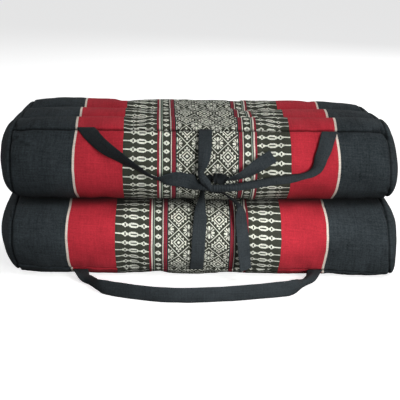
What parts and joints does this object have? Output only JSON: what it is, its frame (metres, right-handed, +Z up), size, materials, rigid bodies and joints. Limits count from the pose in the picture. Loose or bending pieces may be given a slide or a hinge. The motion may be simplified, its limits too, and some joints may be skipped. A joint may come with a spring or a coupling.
{
  "type": "foldable meditation cushion",
  "caption": "Folding floor cushion, shut and tied: filled cloth blocks with sewn channels, strap handles and a knotted ribbon tie.",
  "frame": {"origin": "on the floor, under the middle channel of the lower block, at the middle of the width", "axes": "+X along the channels to the right of someone facing the knot, +Y to the back where the blocks are joined, +Z up"},
  "size_m": [0.4054, 0.2619, 0.1594],
  "materials": {
    "patterned_cover": "plain weave, matte",
    "strap_cloth": "plain weave, matte"
  },
  "bodies": {
    "root": {"upper_block": "patterned_cover", "lower_block": "patterned_cover", "hinge_strip": "strap_cloth", "upper_handle": "strap_cloth", "lower_handle": "strap_cloth", "upper_tie": "strap_cloth", "lower_tie": "strap_cloth"}
  },
  "joints": []
}
